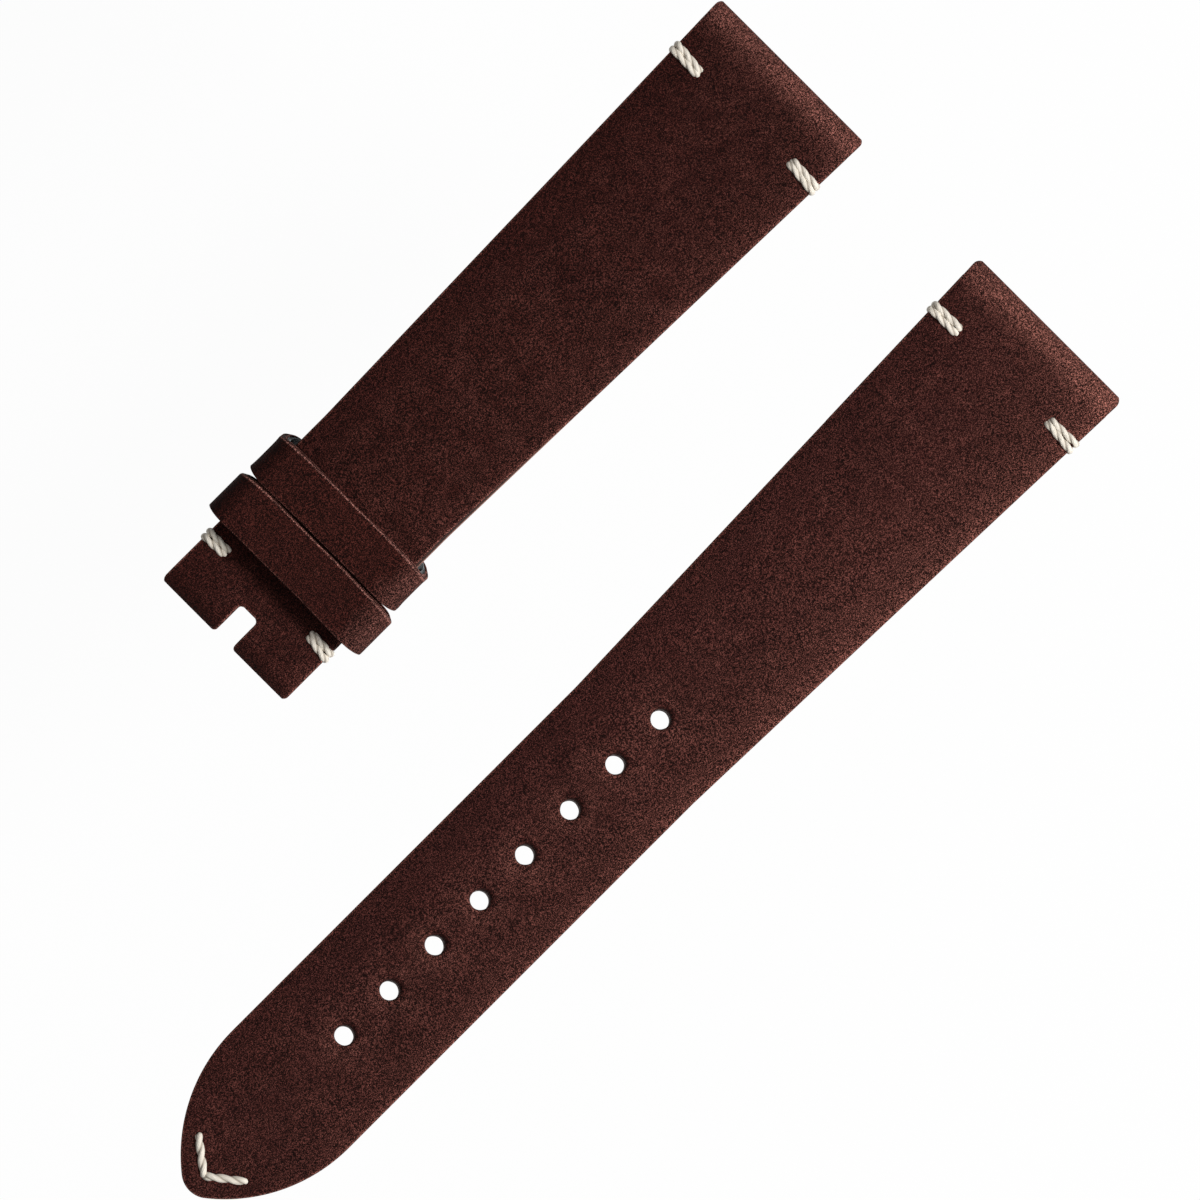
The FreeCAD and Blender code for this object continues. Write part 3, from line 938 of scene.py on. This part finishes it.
def split_leather(name, tone, own_mesh=False):
    """Raw split leather: loose fibres, seen only at the cut edges."""
    tree = Tree(name)
    fibre = tree.noise(tree.rest_place(own_mesh), split_scale, 3.0, 0.7)
    return tree.finish(Base_Color=tree.scaled(tone, 0.5 + fibre), Roughness=0.9,
                       Normal=tree.bump(fibre, split_relief), Specular_IOR_Level=0.15)


def tape(name, tone):
    """Plain woven tape."""
    tree = Tree(name)
    place = tree.rest_place()
    weave, weft = [tree.add("ShaderNodeTexWave", {"bands_direction": direction},
                            {"Vector": place, "Scale": weave_scale}, 1) for direction in "XY"]
    fibre = tree.noise(place, tape_fibre_scale, 2.0, 0.6)
    cloth = weave * 0.5 + weft * 0.5
    return tree.finish(Base_Color=tree.scaled(tone, 0.6 + cloth * 0.3 + fibre * 0.3),
                       Roughness=0.9, Normal=tree.bump(cloth, weave_relief),
                       Specular_IOR_Level=0.2)


def waxed_thread(name, tone, shadow):
    """Waxed linen thread, with its fibres along the twist and painted shade in the grooves."""
    tree = Tree(name)
    hairs = tree.within(tree.noise(tree.rest_place(), hair_scale, 2.0, 0.6), 0.35, 0.65)
    groove_shade_and_fibres = tree.within(tree.wear() + (1 - hairs) * 0.16, 0.0, 1.0)
    return tree.finish(
        Base_Color=tree.mix(groove_shade_and_fibres, tone, shadow), Roughness=0.5 + hairs * 0.2,
        Normal=tree.bump(hairs, hair_relief), Specular_IOR_Level=0.35,
        Sheen_Weight=0.15, Sheen_Roughness=0.5)


split_tone = (0.10, 0.045, 0.028)
long_nubuck = nubuck("nubuck_long", (0.0335, 0.0096, 0.0079), (0.127, 0.047, 0.0365))
short_nubuck = nubuck("nubuck_short", (0.0255, 0.0064, 0.005), (0.121, 0.0445, 0.0352))
keeper_nubuck = nubuck("nubuck_keepers", (0.027, 0.0066, 0.005), (0.15, 0.064, 0.052))
lining_calf = calf("calf_lining", (0.1, 0.044, 0.032))
grey_calf = calf("calf_keeper_lining", (0.06, 0.068, 0.07))
filler_split = split_leather("split_filler", split_tone)
stay_weave = tape("tape_stay", (0.5, 0.48, 0.44))
linen = waxed_thread("linen_thread", (0.9, 0.83, 0.72), (0.3, 0.245, 0.185))


# The two halves
def make_half(half, finish, end_rows, upper_cut, lining_cut, lining_end, stay_end):
    """The upper, lining and stay of a half; end_rows makes the upper past its first piece."""
    upper = Layer(half, arris, seam, shaped=True, recess=half.stay_top - half.glue,
                  creep=edge_creep if half is short_strap else 0.0)
    lug_fold = Fold(half, half.lug_x, -1, half.bore, half.pad, half.flap, plain_band)

    def upper_rows(start, end):
        return lug_fold.rows(end) if start is None else end_rows(start, end)

    layer_pieces(half, "upper", finish, upper, upper_rows, upper_cut)
    # its face is darker by painted shade, where it shows beside the upper
    lining = Layer(half, seam, under_arris, face_wear_and_painted_light=-0.25)
    lining_rows = level_rows(half, half.lug_x - half.flap, lining_end, half.glue, half.base)
    layer_pieces(half, "lining", lining_calf, lining, lining_rows, lining_cut)
    stay = Layer(half, 0.02 * mm, 0.02 * mm, inset=stay_inset)
    stay_rows = level_rows(half, half.stay_x, stay_end, half.stay_top, half.glue)
    layer_pieces(half, "stay", stay_weave, stay, stay_rows, lining_cut)


def slot_cut(shell, rows):
    """Cuts the tongue slot into the piece that has the buckle end."""
    if rows[-1].outer.x < 0:
        slotted(shell, rows)


buckle_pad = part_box("short_buckle_filler")[1].x - short_strap.end_x
buckle_fold = Fold(short_strap, short_strap.end_x, 1, mounts["buckle_bore"]["dims"]["r_mm"] * mm,
                   buckle_pad, buckle_pad - buckle_pad_step, slot_band)
make_half(long_strap, long_nubuck,
          level_rows(long_strap, None, None, long_strap.top, long_strap.glue),
          lambda shell, rows: punched(shell, rows, upper_rim),
          lambda shell, rows: punched(shell, rows, plain_rim), None, None)
make_half(short_strap, short_nubuck, lambda start, end: buckle_fold.rows(start), slot_cut, None,
          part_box("short_lining_buckle")[0].x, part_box("short_stay_buckle")[0].x)


# Fillers
def copied_filler(half):
    """The wedge behind a lug bore, copied from its solid."""
    node = half.name + "_lug_filler"
    solid = frame["nodes"][node]
    points = [vertex.co.copy() for vertex in solid.data.vertices]
    faces = [tuple(polygon.vertices) for polygon in solid.data.polygons]
    thing = make_mesh(half.name + "_filler_wedge", points, faces, [0.0] * len(points),
                      sharp=math.radians(30))
    dress(thing, filler_split, [node])


copied_filler(long_strap)
copied_filler(short_strap)


# Keepers
keeper_shear = 0.75 * mm        # how much nearer to the buckle the solid's top is than its bottom
keeper_lean = {"fixed_keeper": 0.05 * mm, "free_keeper": 0.75 * mm}  # the same in the scene
keeper_lean_curve = 1.6         # power by which the lean grows from the top down
keeper_skin = 0.4 * mm          # of the lining
keeper_corner = 2.3 * mm
keeper_foot = 2.0 * mm          # outside
keeper_between_foot = 1.2 * mm  # between leather and lining
keeper_inner_foot = 0.3 * mm
keeper_arrises = 0.16 * mm, 0.13 * mm       # of the leather's edges, outside and inside
keeper_lining_arrises = 0.06 * mm, 0.1 * mm
keeper_wave = 0.1 * mm          # of the edges along the strap
keeper_wave_length = 7 * mm
keeper_bow = 0.16 * mm          # of the top's edges towards the buckle, away from its middle
keeper_bow_reach = 10 * mm
keeper_sag = 0.1 * mm           # of the top, unevenly
keeper_sag_length = 6 * mm
keeper_sag_seed = 3.1
keeper_flare = 0.07 * mm        # of the side walls at both edges
keeper_plan_corner = 0.34 * mm  # how far both edges draw in at the sides
keeper_bevel = 0.34 * mm        # of the cut edge towards the lugs, at the sides
keeper_bevel_least = 0.25       # of it, at the middle
keeper_recess = 0.35 * mm       # of the lining's edges over the strap
mouth_start = 3.0 * mm          # how far inside the strap's edge a keeper starts to open
mouth_reach = 3.2 * mm
raw_edge_mark = 0.65            # wear of the cut edge, next to the lining
raw_edge_core = -0.1            # in the middle of the cut edge
mark_least = 0.4                # share of the edges' wear on the buckle's side
mark_more = 1.3                 # how much more there is on the lugs' side
left_keeper_painted_shade = 0.45, 7.6 * mm, 2.4 * mm    # painted shade on the left ends, which face away from the lamp: how much, from where, and over what distance
# painted highlight on the right ends, at the top, which face the lamp
right_keeper_painted_highlight = 0.4, 6.5 * mm, 3.2 * mm
keeper_steps = {"flat": 24, "foot": 10, "wall": 8, "corner": 14, "width": 8}    # of its mesh
# How far each keeper's lining comes out to its edges beside the strap
keeper_mouth = {"fixed_keeper": 0.0, "free_keeper": 1.0}
# How far each keeper stands off sideways
keeper_aside = {"fixed_keeper": -0.12 * mm, "free_keeper": 0.1 * mm}


def rounded_loop(half, low, high, top_radius, foot):
    """Points of a keeper's section, from the middle of the bottom round over the top."""
    right = []

    def add_run(start, end, steps):
        for index in range(steps):
            share = index / steps
            right.append((start[0] + (end[0] - start[0]) * share,
                          start[1] + (end[1] - start[1]) * share))

    def add_arc(centre_z, radius, first, steps):
        for index in range(steps):
            angle = first + math.pi / 2 * index / steps
            right.append((half - radius + radius * math.cos(angle),
                          centre_z + radius * math.sin(angle)))

    add_run((0, low), (half - foot, low), keeper_steps["flat"])
    add_arc(low + foot, foot, -math.pi / 2, keeper_steps["foot"])
    add_run((half, low + foot), (half, high - top_radius), keeper_steps["wall"])
    add_arc(high - top_radius, top_radius, 0, keeper_steps["corner"])
    add_run((half - top_radius, high), (0, high), keeper_steps["flat"])
    left = [(-y, z) for y, z in reversed(right[1:])]
    return right + [(0, high)] + left


def edge_profile(length, thickness, face_radius, back_radius):
    """Inset from one end, depth and wear of the points round a band, for its whole length."""
    ends = side_profile(thickness, face_radius, back_radius)
    raw = corner_steps + 1
    inset, raw_depth, mark = ends[raw]
    ends[raw] = (inset, raw_depth, raw_edge_mark)
    ends.insert(raw, (0.0, (face_radius + raw_depth) / 2, raw_edge_core))
    beside = ends[0][0] + 0.1 * mm
    steps = keeper_steps["width"]
    face = [(beside + (length - 2 * beside) * (1 - part / steps), 0.0, 0.0)
            for part in range(steps + 1)]
    back = [(length / 2, thickness, 0.0)]
    far = [(length - place, depth, wear) for place, depth, wear in reversed(ends)]
    return face + ends + back + far


def keeper_part(name, layer, finish, outer, inner, start, length, radii, body, seed):
    """A band between two sections, which leans towards the buckle at the top."""
    high = max(z for y, z in outer)
    low = min(z for y, z in outer)
    outer_half = max(y for y, z in outer)
    in_leather = layer == "leather"
    points, wear = [], []
    for (y, z), (back_y, back_z) in zip(outer, inner):
        face = Vector((0, y, z))
        down = Vector((0, back_y, back_z)) - face
        thickness = down.length
        down /= thickness
        top_share = (z - low) / (high - low)
        aside = abs(y / outer_half)
        mouth = keeper_mouth[name]
        opening = eased(kept((abs(y) - short_strap.tail_half + mouth_start) / mouth_reach)) * mouth
        draw_in = 0.0 if in_leather else keeper_recess * (1 - opening) * top_share ** mouth
        along = start + keeper_lean[name] * (1 - top_share) ** keeper_lean_curve
        along += keeper_wave * noise.noise(Vector((y / keeper_wave_length, 0.0, seed)))
        along -= keeper_bow * top_share * (y / keeper_bow_reach) ** 2
        uneven = noise.noise(Vector((y / keeper_sag_length, 0.5, seed + keeper_sag_seed)))
        sag = abs(keeper_sag * top_share ** 4 * uneven)
        bevel = 0.0
        if in_leather:
            bevel = keeper_bevel * (keeper_bevel_least + (1 - keeper_bevel_least) * aside ** 1.3)
        # painted shade on the left end and painted highlight on the right end
        shade, shade_start, shade_reach = left_keeper_painted_shade
        shade *= kept((y - shade_start) / shade_reach)
        painted_highlight, highlight_start, highlight_reach = right_keeper_painted_highlight
        painted_highlight *= kept((-y - highlight_start) / highlight_reach) * top_share
        for inset, depth, mark in edge_profile(length, thickness, *radii):
            share = inset / length
            x = along + draw_in + (length - 2 * draw_in) * share
            x += bevel * share ** 8 * depth / thickness
            x -= keeper_plan_corner * aside ** 10 * (2 * share - 1)
            flare = keeper_flare * (2 * share - 1) ** 4 * (1 if y > 0 else -1) * opening
            place = face + down * depth
            points.append(Vector((x, short_strap.middle + keeper_aside[name] + place.y + flare,
                                  place.z - sag)))
            wear.append(mark * (mark_least + mark_more * share ** 4) + painted_highlight - shade)
    faces = loft(len(points) // len(outer), len(outer), closed=True)
    thing = make_mesh(name + "_" + layer + "_band", points, faces, wear)
    settle(thing, body, finish, name + "_" + layer)


def keeper(name, body, seed):
    """The leather and the lining of a keeper."""
    low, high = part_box(name + "_leather")
    inside_low, inside_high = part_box(name + "_lining")
    wall = high.y - inside_high.y
    half = (high.y - low.y) / 2
    length = high.x - low.x - keeper_shear
    outside = rounded_loop(half, low.z, high.z, keeper_corner, keeper_foot)
    between = rounded_loop(half - wall, inside_low.z, inside_high.z, keeper_corner - wall,
                           keeper_between_foot)
    inside = rounded_loop(half - wall - keeper_skin, inside_low.z + keeper_skin,
                          inside_high.z - keeper_skin, keeper_corner - wall - keeper_skin,
                          keeper_inner_foot)
    start_in = low.x + (inside_low.x - low.x) * keeper_lean[name] / keeper_shear
    keeper_part(name, "leather", keeper_nubuck, outside, between, low.x, length,
                keeper_arrises, body, seed)
    keeper_part(name, "lining", grey_calf, between, inside, start_in, length,
                keeper_lining_arrises, body, seed)


keeper("fixed_keeper", "short_buckle", 1.7)
keeper("free_keeper", "free_keeper", 5.2)


# Stitches
def rounded_path(corners, radius):
    """Close points along straight runs whose corners are rounded."""
    path = [corners[0]]
    steps = 12
    for before, corner, after in zip(corners, corners[1:], corners[2:]):
        back = before - corner
        onward = after - corner
        reach = min(radius, back.length * 0.49, onward.length * 0.49)   # less than half a run
        start = corner + back.normalized() * reach
        end = corner + onward.normalized() * reach
        for index in range(steps + 1):
            share = index / steps
            path.append(start * (1 - share) ** 2 + corner * 2 * share * (1 - share)
                        + end * share ** 2)
    path.append(corners[-1])
    even = [path[0]]
    for before, after in zip(path, path[1:]):
        count = max(1, round((after - before).length / thread_step))
        even += [before.lerp(after, index / count) for index in range(1, count + 1)]
    return even


def twisted(node, paths, kind, body):
    """Thread of two plies along each path, with a groove where the plies meet."""
    radius, lay = thread_radius[kind], thread_lay[kind]
    points, wear, rest, faces = [], [], [], []
    for number, path in enumerate(paths):
        faces += loft(thread_sides, len(path), first=len(points))
        side = Vector((1, 0, 0))
        run = 0.0
        for index, place in enumerate(path):
            ahead = path[min(index + 1, len(path) - 1)] - path[max(index - 1, 0)]
            ahead.normalize()
            side = (side - ahead * side.dot(ahead)).normalized()
            over = ahead.cross(side)
            if index:
                run += (place - path[index - 1]).length
            twist = 2 * math.pi * run / lay + number * second_run_twist
            swelling = Vector((run / thread_swelling_length, number, radius / mm))
            thick = radius * (1 + thread_swelling * noise.noise(swelling))
            for step in range(thread_sides):
                angle = 2 * math.pi * step / thread_sides
                ply = angle - twist
                gap = min(abs(math.remainder(ply, math.pi)), math.pi / 2)
                width = ply_waist + (1 - ply_waist) * math.cos(gap) ** ply_roundness
                around = side * math.cos(angle) + over * math.sin(angle)
                points.append(place + around * thick * width)
                # mark for painted shade in the groove between the plies
                wear.append(math.exp(-(math.pi / 2 - gap) / groove_shade_width))
                rest.append(Vector((math.cos(ply) * radius, math.sin(ply) * radius,
                                    run * fibre_stretch)))
    thing = make_mesh(node + "_thread", points, faces, wear, rest, sharp=math.radians(75))
    settle(thing, body, linen, node)


def side_stitch(node, body):
    """One thread laid twice through a hole and round the edge."""
    low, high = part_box(node)
    lean, at_hole, at_edge = stitch_lie[node]
    x, hole_y, edge_y, side = side_stitch_place(node)
    kind = node.split("_")[1]
    radius = thread_radius[kind]
    hole_y += side * radius
    edge_y -= side * radius
    under = low.z + radius
    over = high.z - radius
    middle = Vector((x, (hole_y + edge_y) / 2, under))
    corners = [middle]
    for turn in (-1, 1):
        edge_x = x - lean / 2 + turn * at_edge
        hole_x = x + lean / 2 + turn * at_hole
        corners += [Vector((edge_x, edge_y, under)), Vector((edge_x, edge_y, over)),
                    Vector((hole_x, hole_y, over)), Vector((hole_x, hole_y, under))]
    corners.append(middle)
    twisted(node, [rounded_path(corners, thread_turn["side"])], kind, body)


def tip_stitch(node, body):
    """Two runs of thread that meet in one hole near the tip."""
    low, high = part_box(node)
    under = Vector((0, 0, low.z + thread_radius["tip"]))
    over = Vector((0, 0, high.z - thread_radius["tip"]))
    paths = []
    for point, end in tip_stitch_runs():
        start = point + (end - point).normalized() * tip_gap
        corners = [start + under, end + under, end + over, start + over, start + (under + over) / 2]
        paths.append(rounded_path(corners, thread_turn["tip"]))
    twisted(node, paths, "tip", body)


for node in stitch_lie:
    side_stitch(node, "short_buckle" if "buckle" in node else "lug_sections")
tip_stitch("long_tip_stitch", "long_tip")


# The buckle filler keeps its solid
filler = frame["nodes"]["short_buckle_filler"]
filler.data.materials.clear()
filler.data.materials.append(split_leather("split_buckle_filler", split_tone, own_mesh=True))


# Floor, light and camera
right = Vector((1, -1, 0)).normalized()     # in the picture
up = Vector((1, 1, 0)).normalized()
aim_point = Vector((9.74 * mm, -5.53 * mm, 2 * mm))
frame_width = 118.2 * mm
camera_height = 1.3
sensor = 36.0
floor_drop = 65 * mm            # so that the curled strap stays above it
floor_half = 3.0
floor_glow = 0.96               # share of the floor that shows white, the rest takes the shadow
world_strength = 0.19
key_turn = 0.2                  # radians from the picture's right towards its bottom
white = (1, 1, 1, 1)


def make_floor():
    """White floor, which keeps a soft shadow."""
    tree = Tree("floor_white")
    bright = tree.add("ShaderNodeEmission", {}, {"Color": white, "Strength": 1.0})
    matt = tree.add("ShaderNodeBsdfDiffuse", {}, {"Color": (0.8, 0.8, 0.8, 1)})
    share = tree.seen_directly() * floor_glow
    both = tree.add("ShaderNodeMixShader", {}, {0: share, 1: matt, 2: bright})
    tree.add("ShaderNodeOutputMaterial", {}, {"Surface": both})
    data = bpy.data.meshes.new("floor")
    corners = [(-1, -1), (1, -1), (1, 1), (-1, 1)]
    data.from_pydata([(x * floor_half, y * floor_half, -floor_drop) for x, y in corners],
                     [], [(0, 1, 2, 3)])
    data.materials.append(tree.owner)
    put("floor", data)


def make_world():
    """Plain soft surroundings, white behind the object."""
    tree = Tree("surroundings", bpy.data.worlds.new("surroundings"))
    soft, bright = [tree.add("ShaderNodeBackground", {}, {"Color": white, "Strength": strength})
                    for strength in (world_strength, 1.0)]
    both = tree.add("ShaderNodeMixShader", {}, {0: tree.seen_directly(), 1: soft, 2: bright})
    tree.add("ShaderNodeOutputWorld", {}, {"Surface": both})
    bpy.context.scene.world = tree.owner


def lamp(name, towards, elevation, distance, size, energy):
    """Square soft lamp that looks at the strap from a direction in plan and an elevation."""
    data = bpy.data.lights.new(name, "AREA")
    data.size = size
    data.energy = energy
    thing = put(name, data)
    aim = towards.normalized() * math.cos(elevation) + Vector((0, 0, 1)) * math.sin(elevation)
    thing.location = aim_point + aim * distance
    thing.rotation_mode = "QUATERNION"
    thing.rotation_quaternion = aim.to_track_quat("Z", "Y")


def make_camera():
    """Camera straight above the strap, turned as the photograph is."""
    data = bpy.data.cameras.new("camera")
    data.sensor_width = sensor
    data.lens = sensor * (camera_height - aim_point.z) / frame_width
    camera = put("camera", data)
    camera.location = (aim_point.x, aim_point.y, camera_height)
    camera.rotation_euler = (0, 0, math.atan2(right.y, right.x))
    bpy.context.scene.camera = camera


make_floor()
make_world()
lamp("key", right * math.cos(key_turn) - up * math.sin(key_turn), elevation=math.radians(43),
     distance=0.8, size=0.2, energy=6.8)
lamp("top", up, elevation=math.radians(85), distance=0.9, size=0.6, energy=0.95)
make_camera()
bpy.context.scene.view_settings.view_transform = "Standard"
